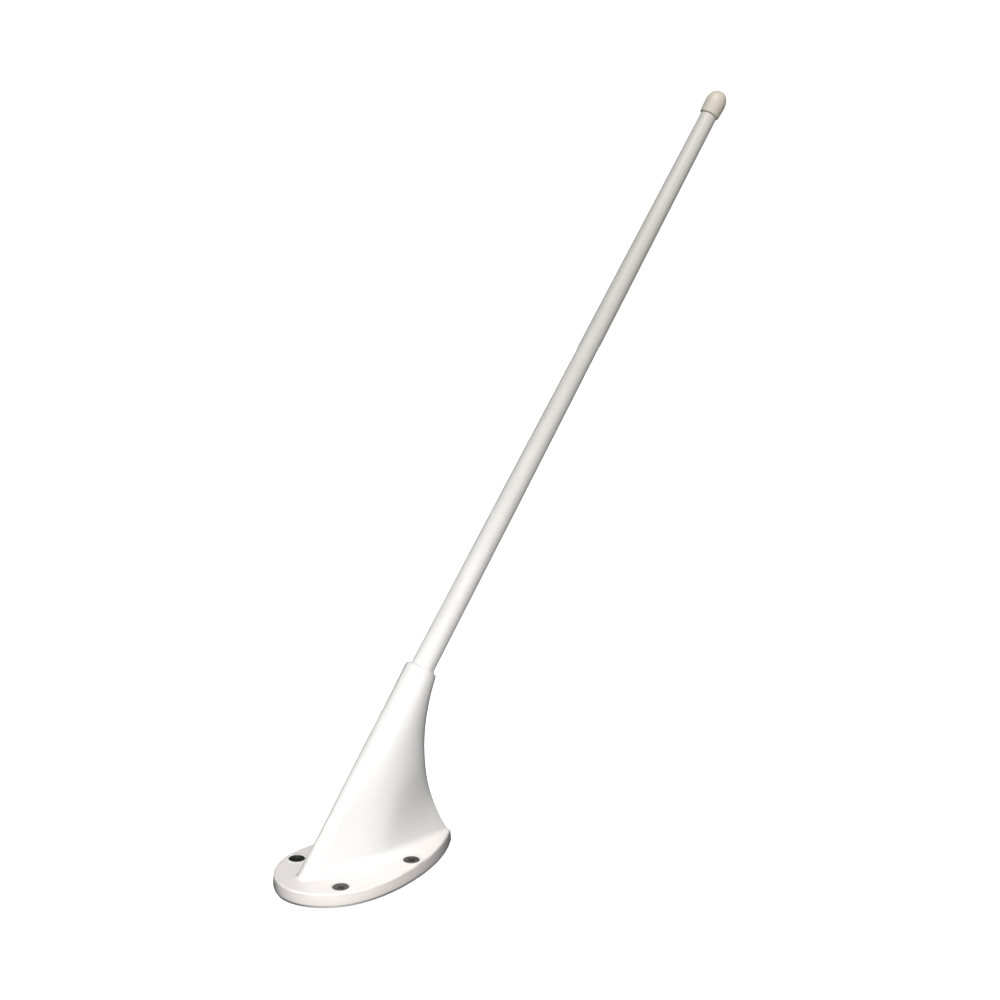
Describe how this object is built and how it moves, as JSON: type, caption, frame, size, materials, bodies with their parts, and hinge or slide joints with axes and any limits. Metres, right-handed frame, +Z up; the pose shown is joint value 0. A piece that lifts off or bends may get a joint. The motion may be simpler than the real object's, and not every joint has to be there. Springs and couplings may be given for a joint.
{
  "type": "swept whip antenna",
  "caption": "Swept omnidirectional VHF whip antenna: tapered white rod with a tip cap in a streamlined fairing on a teardrop flange.",
  "frame": {"origin": "on the mounting face under the base plate, at the centre of the four mounting screws", "axes": "+Z up, out of the surface that carries the antenna; +X aft, the way the whip leans; +Y to the right of the mirror plane"},
  "size_m": [0.3504, 0.0716, 0.4744],
  "materials": {
    "gloss_white_paint": "high gloss white enamel over a moulded shell",
    "whip_paint": "semi-gloss off-white paint over fibreglass",
    "cap_plastic": "satin cream moulded plastic",
    "sealant": "soft satin bead",
    "plate_aluminium": "milled, conversion coated",
    "screw_steel": "satin, turned",
    "nickel_plate": "bright nickel plating",
    "brass": "turned",
    "copper": "drawn wire",
    "ptfe": "waxy, slightly translucent",
    "seal_rubber": "matt",
    "board_laminate": "solder-masked glass laminate",
    "component_coating": "dipped coating",
    "wire_jacket": "extruded insulation"
  },
  "bodies": {
    "root": {"base_fairing": "gloss_white_paint", "base_plate": "plate_aluminium", "board_bracket": "plate_aluminium", "mounting_bush_front_right": "screw_steel", "mounting_screw_front_right": "screw_steel", "mounting_bush_front_left": "screw_steel", "mounting_screw_front_left": "screw_steel", "mounting_bush_rear_right": "screw_steel", "mounting_screw_rear_right": "screw_steel", "mounting_bush_rear_left": "screw_steel", "mounting_screw_rear_left": "screw_steel", "plate_screw_1": "screw_steel", "plate_insert_1": "brass", "plate_screw_2": "screw_steel", "plate_insert_2": "brass", "plate_screw_3": "screw_steel", "plate_insert_3": "brass", "plate_screw_4": "screw_steel", "plate_insert_4": "brass", "plate_screw_5": "screw_steel", "plate_insert_5": "brass", "plate_screw_6": "screw_steel", "plate_insert_6": "brass", "whip_tube": "whip_paint", "tip_cap": "cap_plastic", "whip_seal": "sealant", "whip_ferrule": "brass", "ferrule_stud": "brass", "connector_contact": "brass", "radiator_rod": "copper", "coil_winding": "copper", "ground_strap": "copper", "ring_terminal": "nickel_plate", "terminal_nut": "nickel_plate", "connector_body": "nickel_plate", "connector_nut": "nickel_plate", "ground_tag": "nickel_plate", "rod_spacer_1": "ptfe", "rod_spacer_2": "ptfe", "rod_spacer_3": "ptfe", "connector_insulator": "ptfe", "coil_former": "ptfe", "connector_seal": "seal_rubber", "connector_lock_washer": "screw_steel", "board_screw_1": "screw_steel", "board_screw_2": "screw_steel", "bracket_screw_1": "screw_steel", "bracket_screw_2": "screw_steel", "matching_board": "board_laminate", "series_capacitor": "component_coating", "shunt_capacitor": "component_coating", "drain_resistor": "component_coating", "radiator_lead": "wire_jacket", "feed_lead": "wire_jacket"}
  },
  "joints": []
}
